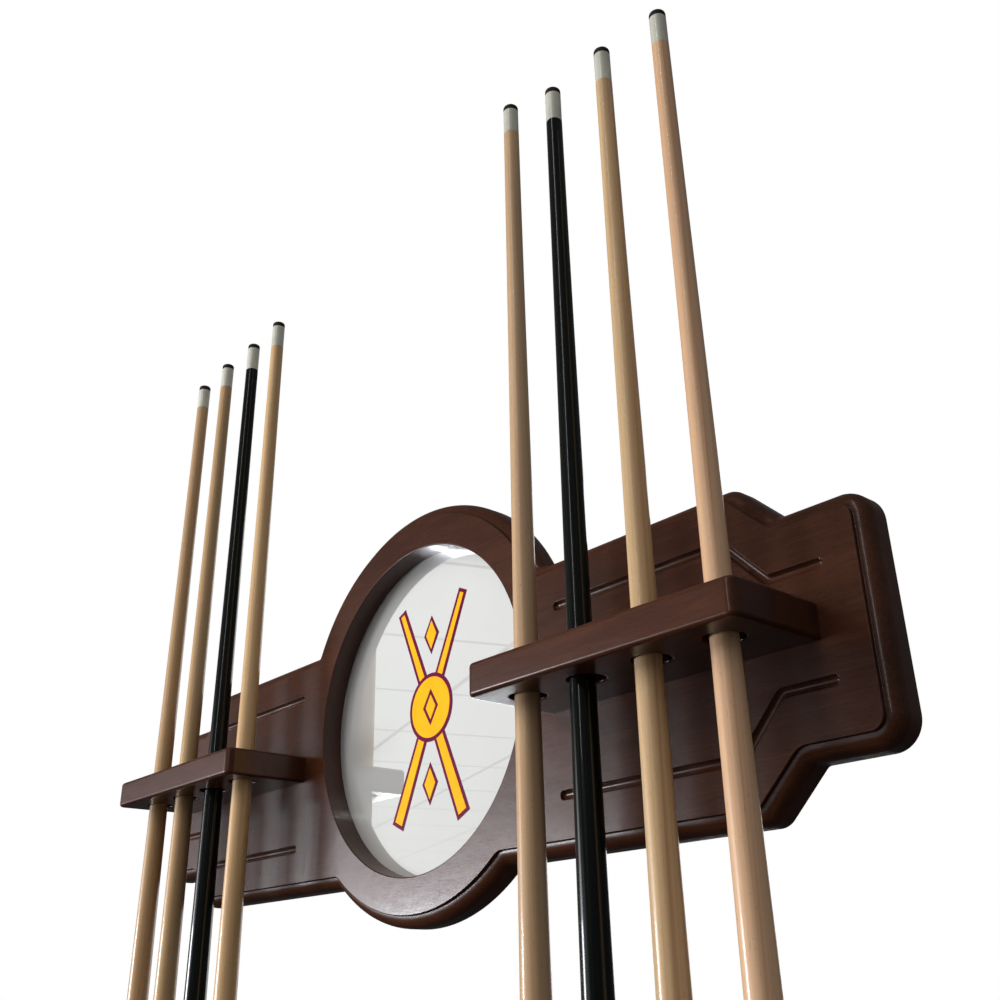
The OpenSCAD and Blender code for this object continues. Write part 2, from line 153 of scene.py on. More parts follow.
# ----------------------------------------------------------------- mesh maker
class Maker:
    """Collects closed loops, the bands between them and flat fills with holes."""

    def __init__(self):
        self.co, self.faces, self.slots = [], [], []

    def add(self, pts):
        k = len(self.co)
        self.co.extend([tuple(p) for p in pts])
        return list(range(k, k + len(pts)))

    def band(self, a, b, slot=0):
        n = len(a)
        for i in range(n):
            j = (i + 1) % n
            self.faces.append((a[i], a[j], b[j], b[i]))
            self.slots.append(slot)

    def fan(self, loop, p, slot=0):
        k = self.add([p])[0]
        n = len(loop)
        for i in range(n):
            self.faces.append((loop[i], loop[(i + 1) % n], k))
            self.slots.append(slot)

    def fill(self, outer, holes, axes, slot=0):
        """Flat fill of the loop outer less the loops holes; axes picks the plane."""
        ids = list(outer) + [i for h in holes for i in h]
        pts = [Vector((self.co[i][axes[0]], self.co[i][axes[1]])) for i in ids]
        edges, k = [], 0
        for loop in [outer] + list(holes):
            n = len(loop)
            edges += [(k + i, k + (i + 1) % n) for i in range(n)]
            k += n
        vs, _, fs, orig, _, _ = geometry.delaunay_2d_cdt(pts, edges, [], 1, 1e-7, True)
        back = {}
        for i, o in enumerate(orig):
            if o:
                back[i] = ids[o[0]]
        polys = [[(self.co[i][axes[0]], self.co[i][axes[1]]) for i in h] for h in holes]
        boxes = [
            (min(p[0] for p in q), max(p[0] for p in q), min(p[1] for p in q), max(p[1] for p in q))
            for q in polys
        ]
        shape = [(self.co[i][axes[0]], self.co[i][axes[1]]) for i in outer]
        for f in fs:
            cx = sum(vs[i][0] for i in f) / len(f)
            cy = sum(vs[i][1] for i in f) / len(f)
            inside = not in_poly(cx, cy, shape)
            for q, b in zip(polys, boxes):
                if b[0] <= cx <= b[1] and b[2] <= cy <= b[3] and in_poly(cx, cy, q):
                    inside = True
                    break
            if not inside:
                self.faces.append(tuple(back[i] for i in f))
                self.slots.append(slot)

    def build(self, name, mats, body, replaces=(), sharp=38.0, weighted=True):
        me = bpy.data.meshes.new(name)
        me.from_pydata([(x * 0.001, y * 0.001, z * 0.001) for x, y, z in self.co], [], self.faces)
        bm = bmesh.new()
        bm.from_mesh(me)
        bm.faces.ensure_lookup_table()
        for f, s in zip(bm.faces, self.slots):
            f.material_index = s
            f.smooth = True
        bmesh.ops.recalc_face_normals(bm, faces=bm.faces)
        lim = math.radians(sharp)
        for e in bm.edges:
            if len(e.link_faces) == 2:
                e.smooth = e.calc_face_angle(0.0) < lim
            else:
                e.smooth = False
        bm.to_mesh(me)
        bm.free()
        for m in mats:
            me.materials.append(m)
        ob = bpy.data.objects.new(name, me)
        SCENE.collection.objects.link(ob)
        if weighted:
            w = ob.modifiers.new("weighted", "WEIGHTED_NORMAL")
            w.mode = "FACE_AREA"
            w.keep_sharp = True
            w.weight = 60
        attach(ob, body)
        if replaces:
            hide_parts(*replaces)
        return ob


def in_poly(x, y, q):
    c, j = False, len(q) - 1
    for i in range(len(q)):
        if (q[i][1] > y) != (q[j][1] > y) and x < (q[j][0] - q[i][0]) * (y - q[i][1]) / (
            q[j][1] - q[i][1]
        ) + q[i][0]:
            c = not c
        j = i
    return c


# ------------------------------------------------------------------- grooves
def groove_loop(path, w):
    """Outline of a groove of half-width w along path: mitred corners, round ends."""

    def unit(a, b):
        d = (b[0] - a[0], b[1] - a[1])
        n = math.hypot(*d)
        return (d[0] / n, d[1] / n)

    def cap(c, d):
        a = math.degrees(math.atan2(d[1], d[0]))
        return [(c[0] + w * cosd(a + k), c[1] + w * sind(a + k)) for k in range(-90, 91, 15)]

    def side(s):
        out = []
        for i in range(1, len(path) - 1):
            u, v = unit(path[i - 1], path[i]), unit(path[i], path[i + 1])
            u, v = (-u[1], u[0]), (-v[1], v[0])
            k = 1 + u[0] * v[0] + u[1] * v[1]
            out.append((path[i][0] + s * (u[0] + v[0]) / k, path[i][1] + s * (u[1] + v[1]) / k))
        return out

    n = len(path) - 1
    return (
        cap(path[0], unit(path[1], path[0]))
        + side(-w)
        + cap(path[n], unit(path[n - 1], path[n]))
        + list(reversed(side(w)))
    )


def soften(path, r, n=5):
    """The path with its corners rounded to radius r."""
    out = [path[0]]
    for i in range(1, len(path) - 1):
        a, p, b = (Vector(q) for q in path[i - 1 : i + 2])
        u, v = (a - p).normalized(), (b - p).normalized()
        half = math.acos(max(-1, min(1, u.dot(v)))) / 2
        t = r / math.tan(half)
        c = p + (u + v).normalized() * (r / math.sin(half))
        s, e = p + u * t - c, p + v * t - c
        a0 = math.atan2(s.y, s.x)
        da = (math.atan2(e.y, e.x) - a0 + math.pi) % (2 * math.pi) - math.pi
        out += [(c.x + r * math.cos(a0 + da * k / n), c.y + r * math.sin(a0 + da * k / n)) for k in range(n + 1)]
    out.append(path[-1])
    return out


def cut_groove(mk, path, t):
    """Adds a round-nosed groove; returns the loop where it meets the face."""
    rim, rad = 0.55, GROOVE_W / 2
    edge_w = math.sqrt(rad * rad - 0.25**2)
    rows = [(edge_w + rim * (1 - sind(q)), rim * (1 - cosd(q))) for q in (0, 25, 50, 75)]
    for k in range(9):
        q = 16 + 74 * k / 8
        rows.append((max(rad * cosd(q), 0.05), rad * sind(q) - 0.25))
    loops = []
    for w, d in rows:
        loops.append(mk.add([(x, -(t - d), z) for x, z in groove_loop(path, w)]))
    for a, b in zip(loops, loops[1:]):
        mk.band(a, b)
    mk.faces.append(tuple(loops[-1]))  # the last loop is almost closed
    mk.slots.append(0)
    return loops[0]


# -------------------------------------------------------------------- boards
def board_rows(t):
    """[inset, height] from the back's edge to the face: eased back edge, flat
    side, quarter round, quirk and eased face line."""
    rows = [(0.8, 0.0), (0.23, 0.23), (0.0, 0.8)]
    h = t - EDGE_STEP - EDGE_R
    for i in range(0, 13):
        a = 90 * i / 12
        rows.append((EDGE_R * (1 - cosd(a)), h + EDGE_R * sind(a)))
    q = 0.7
    rows[-1] = (EDGE_R - 0.35, h + EDGE_R)
    rows.append((EDGE_R - 0.08, h + EDGE_R + 0.12))
    rows.append((EDGE_R, h + EDGE_R + 0.4))
    for a in (0, 30, 60, 90):
        rows.append((EDGE_R + q * (1 - cosd(a)), t - q + q * sind(a)))
    return rows


def hanger_hole(mk, x, z):
    a = mk.add([(p[0], 0.0, p[1]) for p in round_rect(x, z, 16.4, 44.4, 0.6)])
    b = mk.add([(p[0], -2.0, p[1]) for p in round_rect(x, z, 16.4, 44.4, 0.6)])
    c = mk.add([(p[0], -2.0, p[1]) for p in round_rect(x, z, 14.0, 25.0, 3.0)])
    d = mk.add([(p[0], -10.0, p[1]) for p in round_rect(x, z, 14.0, 25.0, 3.0)])
    mk.band(a, b)
    mk.fill(b, [c], (0, 2))
    mk.band(c, d)
    mk.fill(d, [], (0, 2))
    return a


def screw_hole(mk, x, z):
    loops = []
    for r, y in ((4.9, 0.0), (4.6, -0.3), (4.6, -3.0), (2.35, -6.0), (2.3, -6.4)):
        loops.append(mk.add([(p[0], y, p[1]) for p in circle_pts(x, z, r, 24)]))
    for a, b in zip(loops, loops[1:]):
        mk.band(a, b)
    mk.fill(loops[-1], [], (0, 2))
    return loops[0]


def board(name, outline, grooves, z_hang, z_screw, opening, mats):
    mk = Maker()
    loops = [
        mk.add([(x - i * nx, -h, z - i * nz) for x, z, nx, nz in outline])
        for i, h in board_rows(BOARD_T)
    ]
    for a, b in zip(loops, loops[1:]):
        mk.band(a, b)
    front = [cut_groove(mk, g, BOARD_T) for g in grooves]
    back = [hanger_hole(mk, s * HANGER_X, z_hang) for s in (-1, 1)]
    back += [screw_hole(mk, s * x, z_screw) for s in (-1, 1) for x in SCREW_XS]
    if opening:
        q, n = 0.9, 144
        rows = [(OPEN_R + q * (1 - sind(a)), -(BOARD_T - q + q * cosd(a))) for a in (0, 30, 60, 90)]
        rows += [(OPEN_R, GLASS_Y - 0.3), (OPEN_R + 0.3, GLASS_Y), (GLASS_R + 0.5, GLASS_Y)]
        rows += [(GLASS_R + 0.5, GLASS_Y + GLASS_T), (PANEL_R + 0.3, GLASS_Y + GLASS_T)]
        rows += [(PANEL_R + 0.3, -0.3), (PANEL_R + 0.6, 0.0)]
        hole = [mk.add([(p[0], y, p[1]) for p in circle_pts(0, 0, r, n)]) for r, y in rows]
        for a, b in zip(hole, hole[1:]):
            mk.band(a, b)
        front.append(hole[0])
        back.append(hole[-1])
    mk.fill(loops[-1], front, (0, 2))
    mk.fill(loops[0], back, (0, 2))
    return mk.build(name, mats, "rack", [name])


# ------------------------------------------------------------------- shelves
def shelf(name, side, z0, t, cups, mats):
    mk = Maker()
    ed = 3.0
    out = shelf_outline(SHELF_X, SHELF_X + SHELF_LEN, -BOARD_T, -BOARD_T - SHELF_DEPTH)
    rows = [(ed * (1 - sind(a)), ed * (1 - cosd(a))) for a in range(0, 91, 15)]
    rows += [(ed * (1 - cosd(a)), t - ed * (1 - sind(a))) for a in range(0, 91, 15)]
    loops = [mk.add([(side * (x - i * nx), y - i * ny, z0 + h) for x, y, nx, ny in out]) for i, h in rows]
    for a, b in zip(loops, loops[1:]):
        mk.band(a, b)
    top, bottom = [], []
    rim, n = 1.1, 48
    for i in range(4):
        x = side * (HOLE_X + i * HOLE_PITCH)
        r = (CUP_D if cups else HOLE_D) / 2
        prof = [(r + rim * (1 - sind(a)), z0 + t - rim + rim * cosd(a)) for a in (0, 22, 45, 68, 90)]
        if cups:
            prof += [(r, z0 + t - CUP_DEPTH + 1.0), (r - 0.3, z0 + t - CUP_DEPTH + 0.3), (r - 1.0, z0 + t - CUP_DEPTH)]
        else:
            prof += [(r + rim * (1 - sind(a)), z0 + rim - rim * cosd(a)) for a in (90, 68, 45, 22, 0)]
        hole = [mk.add([(p[0], p[1], z) for p in circle_pts(x, -HOLE_Y, q, n)]) for q, z in prof]
        for a, b in zip(hole, hole[1:]):
            mk.band(a, b)
        top.append(hole[0])
        if cups:
            mk.fill(hole[-1], [], (0, 1))
        else:
            bottom.append(hole[-1])
    mk.fill(loops[-1], top, (0, 1))
    mk.fill(loops[0], bottom, (0, 1))
    return mk.build(name, mats, "rack", [name])


# --------------------------------------------------------------------- lathe
def lathe(name, prof, centre, z0, mats, body, replaces, n=64, sharp=40.0, slots=None):
    """prof: [radius, height] from one pole to the other; radius 0 is a pole."""
    mk = Maker()
    loops, first, last = [], None, None
    for k, (r, h) in enumerate(prof):
        if r <= 1e-9:
            if k == 0:
                first = (centre[0], centre[1], z0 + h)
            else:
                last = (centre[0], centre[1], z0 + h)
            continue
        loops.append(mk.add([(centre[0] + r * cosd(360 * i / n), centre[1] + r * sind(360 * i / n), z0 + h) for i in range(n)]))
    for k, (a, b) in enumerate(zip(loops, loops[1:])):
        mk.band(a, b, slots[k] if slots else 0)
    if first:
        mk.fan(loops[0], first)
    if last:
        mk.fan(loops[-1], last)
    return mk.build(name, mats, body, replaces, sharp=sharp)


def cue_r(t):
    return TIP_D / 2 + (BUTT_D - TIP_D) / 2 * (1.32 * t**1.45 - 0.32 * t**3)


# ----------------------------------------------------------------- materials
class Nodes:
    """Short helpers for one material's node tree."""

    def __init__(self, name):
        self.mat = bpy.data.materials.new(name)
        self.mat.use_nodes = True
        self.nt = self.mat.node_tree
        self.nt.nodes.clear()
        self.out = self.nt.nodes.new("ShaderNodeOutputMaterial")
        self.bsdf = self.nt.nodes.new("ShaderNodeBsdfPrincipled")
        self.nt.links.new(self.bsdf.outputs["BSDF"], self.out.inputs["Surface"])
        self.tc = self.nt.nodes.new("ShaderNodeTexCoord")

    def put(self, node, key, value):
        sock = node.inputs[key]
        if isinstance(value, bpy.types.NodeSocket):
            self.nt.links.new(value, sock)
        else:
            sock.default_value = value

    def set(self, **kw):
        for k, v in kw.items():
            self.put(self.bsdf, k.replace("_", " "), v)

    def mapped(self, scale, loc=(0, 0, 0), rot=(0, 0, 0), vec=None):
        m = self.nt.nodes.new("ShaderNodeMapping")
        m.vector_type = "POINT"
        self.put(m, "Vector", vec if vec is not None else self.tc.outputs["Object"])
        self.put(m, "Location", loc)
        self.put(m, "Rotation", rot)
        self.put(m, "Scale", scale)
        return m.outputs["Vector"]

    def noise(self, vec, scale=1.0, detail=2.0, rough=0.5, distortion=0.0):
        n = self.nt.nodes.new("ShaderNodeTexNoise")
        self.put(n, "Vector", vec)
        self.put(n, "Scale", scale)
        self.put(n, "Detail", detail)
        self.put(n, "Roughness", rough)
        self.put(n, "Distortion", distortion)
        return n.outputs["Fac"]

    def wave(self, vec, scale, distortion, detail, dscale, axis="Y", profile="SIN"):
        n = self.nt.nodes.new("ShaderNodeTexWave")
        n.wave_type = "BANDS"
        n.bands_direction = axis
        n.wave_profile = profile
        self.put(n, "Vector", vec)
        self.put(n, "Scale", scale)
        self.put(n, "Distortion", distortion)
        self.put(n, "Detail", detail)
        self.put(n, "Detail Scale", dscale)
        return n.outputs["Fac"]

    def voronoi(self, vec, scale, feature="F1"):
        n = self.nt.nodes.new("ShaderNodeTexVoronoi")
        n.feature = feature
        self.put(n, "Vector", vec)
        self.put(n, "Scale", scale)
        return n.outputs["Distance"]

    def ramp(self, fac, stops, interp="LINEAR"):
        n = self.nt.nodes.new("ShaderNodeValToRGB")
        n.color_ramp.interpolation = interp
        el = n.color_ramp.elements
        while len(el) < len(stops):
            el.new(0.5)
        for e, (p, c) in zip(el, stops):
            e.position = p
            e.color = c if len(c) == 4 else (*c, 1.0)
        self.put(n, "Fac", fac)
        return n.outputs["Color"]

    def mix(self, fac, a, b, blend="MIX"):
        n = self.nt.nodes.new("ShaderNodeMix")
        n.data_type = "RGBA"
        n.blend_type = blend
        self.put(n, 0, fac)
        self.put(n, 6, a if isinstance(a, bpy.types.NodeSocket) else (*a[:3], 1.0))
        self.put(n, 7, b if isinstance(b, bpy.types.NodeSocket) else (*b[:3], 1.0))
        return n.outputs[2]

    def math(self, op, a, b=0.0, c=None, clamp=False):
        n = self.nt.nodes.new("ShaderNodeMath")
        n.operation = op
        n.use_clamp = clamp
        self.put(n, 0, a)
        self.put(n, 1, b)
        if c is not None:
            self.put(n, 2, c)
        return n.outputs[0]

    def span(self, v, a, b, c, d):
        n = self.nt.nodes.new("ShaderNodeMapRange")
        n.clamp = True
        self.put(n, "Value", v)
        self.put(n, "From Min", a)
        self.put(n, "From Max", b)
        self.put(n, "To Min", c)
        self.put(n, "To Max", d)
        return n.outputs["Result"]

    def bump(self, height, strength, distance, normal=None):
        n = self.nt.nodes.new("ShaderNodeBump")
        self.put(n, "Height", height)
        self.put(n, "Strength", strength)
        self.put(n, "Distance", distance)
        if normal is not None:
            self.put(n, "Normal", normal)
        return n.outputs["Normal"]


def mahogany(name, seed, tint=(1.0, 1.0, 1.0), tilt=0.012):
    """Dark stained mahogany under satin lacquer, grain along X."""
    m = Nodes(name)
    rnd = random.Random(seed)
    off = [rnd.uniform(-3, 3) for _ in range(3)]
    rot = (0.0, tilt, 0.0)
    base = m.mapped((1, 1, 1), off, rot)
    # slow wander of the grain lines
    bend = m.noise(m.mapped((2.2, 9, 9), vec=base), 1.0, 2.0, 0.5)
    shift = m.nt.nodes.new("ShaderNodeCombineXYZ")
    m.put(shift, "Y", m.math("MULTIPLY", bend, 0.018))
    m.put(shift, "Z", m.math("MULTIPLY", bend, 0.022))
    add = m.nt.nodes.new("ShaderNodeVectorMath")
    add.operation = "ADD"
    m.put(add, 0, base)
    m.put(add, 1, shift.outputs[0])
    v = add.outputs[0]
    tone = m.noise(m.mapped((1.6, 12, 12), vec=v), 1.0, 3.0, 0.55)
    figure = m.noise(m.mapped((7, 120, 120), vec=v), 1.0, 4.0, 0.6)
    fine = m.noise(m.mapped((26, 900, 900), vec=v), 1.0, 3.0, 0.6)
    pores = m.noise(m.mapped((150, 2600, 2600), vec=v), 1.0, 1.0, 0.5)
    c1 = m.ramp(tone, [(0.28, (0.035, 0.0105, 0.0045)), (0.52, (0.056, 0.0165, 0.0066)), (0.78, (0.088, 0.0265, 0.0100))])
    c2 = m.mix(m.span(figure, 0.35, 0.68, 0.0, 0.50), c1, (0.030, 0.0090, 0.0040))
    c3 = m.mix(m.span(fine, 0.48, 0.75, 0.0, 0.42), c2, (0.115, 0.036, 0.0130))
    c4 = m.mix(m.span(pores, 0.60, 0.72, 0.0, 0.75), c3, (0.008, 0.0035, 0.0025))
    c5 = m.mix(1.0, c4, tint, "MULTIPLY")
    m.set(Base_Color=c5)
    m.set(Roughness=m.math("ADD", m.span(fine, 0.3, 0.7, 0.29, 0.36), m.span(pores, 0.6, 0.75, 0.0, 0.12)))
    m.set(Specular_IOR_Level=0.28, Coat_Weight=0.26, Coat_Roughness=0.13, Coat_IOR=1.5)
    h = m.math("ADD", m.math("MULTIPLY", fine, 0.5), m.math("MULTIPLY", m.span(pores, 0.58, 0.75, 1.0, 0.0), 0.6))
    n1 = m.bump(h, 0.22, 0.00012)
    orange = m.noise(m.mapped((60, 60, 60)), 1.0, 2.0, 0.5)
    n2 = m.bump(orange, 0.25, 0.0006, n1)
    m.set(Normal=n2)
    n3 = m.bump(orange, 0.18, 0.0006)
    m.set(Coat_Normal=m.bump(m.math("MULTIPLY", fine, 0.5), 0.10, 0.00010, n3))
    return m.mat


def maple(name, seed, light, mid, dark, streak=None, streak_at=0.0, centre=(0, 0), strong=0.5):
    """Lacquered maple with the grain along Z."""
    m = Nodes(name)
    rnd = random.Random(seed)
    off = [-centre[0] * 0.001 + 0.0, -centre[1] * 0.001, rnd.uniform(-4, 4)]
    base = m.mapped((1, 1, 1), off)
    swirl = [rnd.uniform(-2, 2) for _ in range(3)]
    v = m.mapped((1, 1, 1), swirl, (rnd.uniform(-0.02, 0.02), rnd.uniform(-0.02, 0.02), rnd.uniform(0, 6.28)), vec=base)
    tone = m.noise(m.mapped((45, 45, 1.3), vec=v), 1.0, 2.0, 0.5)
    bands = m.noise(m.mapped((330, 330, 1.8), vec=v), 1.0, 3.0, 0.55)
    fine = m.noise(m.mapped((1500, 1500, 9), vec=v), 1.0, 2.0, 0.5)
    fleck = m.noise(m.mapped((1300, 1300, 240), vec=v), 1.0, 1.0, 0.5)
    c1 = m.ramp(tone, [(0.3, mid), (0.7, light)])
    c2 = m.mix(m.span(bands, 0.42, 0.72, 0.0, strong), c1, dark)
    c3 = m.mix(m.span(fine, 0.5, 0.8, 0.0, 0.30), c2, dark)
    c4 = m.mix(m.span(fleck, 0.66, 0.74, 0.0, 0.35), c3, tuple(0.62 * q for q in dark))
    if streak:
        a = m.nt.nodes.new("ShaderNodeSeparateXYZ")
        m.put(a, 0, base)
        ang = m.math("ARCTAN2", a.outputs[1], a.outputs[0])
        wob = m.math("MULTIPLY", m.math("SUBTRACT", m.noise(m.mapped((0, 0, 3.0), swirl), 1.0, 1.0), 0.5), 0.8)
        d = m.math("ABSOLUTE", m.math("SUBTRACT", m.math("ADD", ang, wob), streak_at))
        soft = m.math("MULTIPLY", m.span(d, 0.02, 0.34, 1.0, 0.0), m.span(m.noise(m.mapped((600, 600, 3), vec=v), 1.0, 2.0), 0.38, 0.66, 0.0, 0.55))
        c4 = m.mix(soft, c4, streak)
    m.set(Base_Color=c4)
    m.set(Roughness=m.span(bands, 0.3, 0.7, 0.34, 0.46))
    m.set(Coat_Weight=0.4, Coat_Roughness=0.12, Coat_IOR=1.45, Specular_IOR_Level=0.36)
    m.set(Subsurface_Weight=0.0)
    m.set(Normal=m.bump(m.math("ADD", fine, m.math("MULTIPLY", bands, 0.5)), 0.25, 0.00008))
    return m.mat


def black_gloss(name, seed):
    """Black lacquered shaft that still shows faint lengthwise grain."""
    m = Nodes(name)
    rnd = random.Random(seed)
    v = m.mapped((1, 1, 1), [rnd.uniform(-3, 3) for _ in range(3)])
    grain = m.noise(m.mapped((900, 900, 3), vec=v), 1.0, 3.0, 0.6)
    slow = m.noise(m.mapped((30, 30, 6), vec=v), 1.0, 2.0, 0.5)
    m.set(Base_Color=m.ramp(grain, [(0.3, (0.0022, 0.0032, 0.0028)), (0.75, (0.0058, 0.0080, 0.0068))]))
    m.set(Roughness=m.span(grain, 0.3, 0.7, 0.20, 0.32))
    m.set(Specular_IOR_Level=0.16, Coat_Weight=0.5, Coat_Roughness=0.05, Coat_IOR=1.45)
    n1 = m.bump(grain, 0.15, 0.00005)
    m.set(Normal=n1)
    m.set(Coat_Normal=m.bump(slow, 0.05, 0.0005))
    return m.mat


def butt_wood(name, seed, centre, top, tail, light, mid, dark, stain):
    """Butt: maple forearm with four stained points rising from a stained handle."""
    m = Nodes(name)
    rnd = random.Random(seed)
    base = m.mapped((1, 1, 1), (-centre[0] * 0.001, -centre[1] * 0.001, 0))
    sep = m.nt.nodes.new("ShaderNodeSeparateXYZ")
    m.put(sep, 0, base)
    ang = m.math("ARCTAN2", sep.outputs[1], sep.outputs[0])
    # four points: the distance from the nearest point's centre line, 0..1
    turn = m.math("FRACT", m.math("ADD", m.math("MULTIPLY", ang, 4 / (2 * math.pi)), 0.625))
    tri = m.math("MULTIPLY", m.math("ABSOLUTE", m.math("SUBTRACT", turn, 0.5)), 2.0)
    z = sep.outputs[2]
    lo, hi = tail, top
    edge = m.math("ADD", lo, m.math("MULTIPLY", m.math("SUBTRACT", 1.0, tri), hi - lo))
    mask = m.span(m.math("SUBTRACT", edge, z), -0.0012, 0.0012, 0.0, 1.0)
    veneer = m.span(m.math("ABSOLUTE", m.math("SUBTRACT", m.math("SUBTRACT", edge, z), 0.012)), 0.0045, 0.0060, 1.0, 0.0)
    off = [rnd.uniform(-2, 2) for _ in range(3)]
    v = m.mapped((1, 1, 1), off, vec=base)
    bands = m.noise(m.mapped((330, 330, 2.2), vec=v), 1.0, 3.0, 0.55)
    fine = m.noise(m.mapped((1400, 1400, 14), vec=v), 1.0, 2.0, 0.5)
    wood = m.mix(m.span(bands, 0.42, 0.72, 0.0, 0.5), m.ramp(fine, [(0.3, mid), (0.7, light)]), dark)
    dk = m.mix(m.span(bands, 0.4, 0.7, 0.0, 0.7), stain, tuple(0.45 * q for q in stain))
    c = m.mix(mask, wood, dk)
    c = m.mix(m.math("MULTIPLY", veneer, 0.85), c, (0.012, 0.010, 0.009))
    m.set(Base_Color=c)
    m.set(Roughness=m.span(bands, 0.3, 0.7, 0.30, 0.42))
    m.set(Coat_Weight=0.85, Coat_Roughness=0.08, Coat_IOR=1.5)
    m.set(Normal=m.bump(fine, 0.2, 0.00008))
    return m.mat


def leather_tip():
    m = Nodes("tip_leather")
    v = m.noise(m.mapped((900, 900, 900)), 1.0, 4.0, 0.65)
    lay = m.noise(m.mapped((120, 120, 1500)), 1.0, 2.0, 0.5)
    c = m.ramp(v, [(0.3, (0.008, 0.006, 0.005)), (0.7, (0.032, 0.021, 0.016))])
    m.set(Base_Color=m.mix(m.span(lay, 0.45, 0.7, 0.0, 0.5), c, (0.020, 0.013, 0.011)))
    m.set(Roughness=m.span(v, 0.3, 0.7, 0.55, 0.85), Specular_IOR_Level=0.35)
    m.set(Normal=m.bump(v, 0.6, 0.00025))
    return m.mat


def ferrule_mat():
    m = Nodes("ferrule")
    v = m.noise(m.mapped((70, 70, 40)), 1.0, 3.0, 0.55)
    f = m.noise(m.mapped((300, 300, 2200)), 1.0, 2.0, 0.5)
    c = m.ramp(v, [(0.3, (0.52, 0.525, 0.45)), (0.7, (0.61, 0.62, 0.55))])
    m.set(Base_Color=m.mix(m.span(f, 0.6, 0.8, 0.0, 0.25), c, (0.45, 0.43, 0.36)))
    m.set(Roughness=m.span(f, 0.3, 0.7, 0.26, 0.38), Coat_Weight=0.3, Coat_Roughness=0.12)
    m.set(Normal=m.bump(f, 0.12, 0.0001))
    return m.mat


def rubber_mat():
    m = Nodes("rubber")
    v = m.noise(m.mapped((700, 700, 700)), 1.0, 3.0, 0.6)
    m.set(Base_Color=m.ramp(v, [(0.3, (0.010, 0.010, 0.011)), (0.7, (0.028, 0.028, 0.029))]))
    m.set(Roughness=m.span(v, 0.3, 0.7, 0.62, 0.82), Specular_IOR_Level=0.35)
    m.set(Normal=m.bump(v, 0.35, 0.0002))
    return m.mat


def mirror_mat():
    m = Nodes("mirror")
    v = m.noise(m.mapped((14, 14, 14)), 1.0, 4.0, 0.6)
    dust = m.noise(m.mapped((900, 900, 900)), 1.0, 2.0, 0.6)
    m.set(Base_Color=m.ramp(v, [(0.3, (0.86, 0.885, 0.885)), (0.7, (0.90, 0.915, 0.91))]))
    m.set(Metallic=0.57)
    m.set(Roughness=m.math("ADD", m.span(v, 0.35, 0.75, 0.0004, 0.0012), m.span(dust, 0.7, 0.8, 0.0, 0.0008)))
    m.set(Coat_Weight=0.4, Coat_Roughness=0.0, Coat_IOR=1.5)
    m.set(Normal=m.bump(v, 0.004, 0.0002))
    return m.mat


def hardboard_mat():
    m = Nodes("hardboard")
    v = m.noise(m.mapped((260, 260, 260)), 1.0, 5.0, 0.7)
    fib = m.noise(m.mapped((1400, 1400, 320), rot=(0, 0.6, 0)), 1.0, 2.0, 0.6)
    c = m.ramp(v, [(0.3, (0.085, 0.047, 0.026)), (0.7, (0.165, 0.098, 0.056))])
    m.set(Base_Color=m.mix(m.span(fib, 0.58, 0.74, 0.0, 0.5), c, (0.26, 0.175, 0.105)))
    m.set(Roughness=m.span(v, 0.3, 0.7, 0.55, 0.8))
    m.set(Normal=m.bump(m.math("ADD", v, fib), 0.4, 0.00025))
    return m.mat


def steel_mat():
    m = Nodes("zinc_steel")
    v = m.noise(m.mapped((160, 160, 160)), 1.0, 4.0, 0.6)
    s = m.noise(m.mapped((2600, 500, 500)), 1.0, 2.0, 0.5)
    m.set(Base_Color=m.ramp(v, [(0.3, (0.46, 0.47, 0.48)), (0.7, (0.66, 0.67, 0.67))]), Metallic=1.0)
    m.set(Roughness=m.math("ADD", m.span(v, 0.3, 0.7, 0.24, 0.40), m.span(s, 0.4, 0.7, 0.0, 0.06)))
    m.set(Normal=m.bump(m.math("ADD", v, s), 0.12, 0.0001))
    return m.mat


def beech_mat():
    m = Nodes("beech")
    f = m.noise(m.mapped((1500, 60, 1500)), 1.0, 3.0, 0.6)
    m.set(Base_Color=m.ramp(f, [(0.3, (0.43, 0.27, 0.15)), (0.7, (0.60, 0.41, 0.25))]))
    m.set(Roughness=m.span(f, 0.3, 0.7, 0.55, 0.7))
    m.set(Normal=m.bump(f, 0.3, 0.0002))
    return m.mat


def print_mat(name, a, b):
    """Printed film on the glass: even ink with a faint mottle and soft gloss."""
    m = Nodes(name)
    v = m.noise(m.mapped((60, 60, 60)), 1.0, 3.0, 0.6)
    dots = m.noise(m.mapped((2200, 2200, 2200)), 1.0, 1.0, 0.5)
    m.set(Base_Color=m.mix(m.span(dots, 0.5, 0.8, 0.0, 0.25), m.ramp(v, [(0.3, a), (0.7, b)]), a))
    m.set(Roughness=m.span(v, 0.3, 0.7, 0.34, 0.46), Specular_IOR_Level=0.05)
    m.set(Normal=m.bump(dots, 0.1, 0.00005))
    return m.mat


def felt_mat():
    m = Nodes("felt")
    v = m.noise(m.mapped((500, 500, 500)), 1.0, 5.0, 0.75)
    f = m.noise(m.mapped((2600, 2600, 900)), 1.0, 2.0, 0.6)
    c = m.ramp(v, [(0.3, (0.012, 0.040, 0.024)), (0.7, (0.030, 0.080, 0.050))])
    m.set(Base_Color=m.mix(m.span(f, 0.55, 0.75, 0.0, 0.5), c, (0.055, 0.115, 0.08)))
    m.set(Roughness=m.span(v, 0.3, 0.7, 0.85, 0.98), Sheen_Weight=0.35, Sheen_Roughness=0.4, Specular_IOR_Level=0.15)
    m.set(Normal=m.bump(m.math("ADD", v, f), 0.7, 0.0005))
    return m.mat


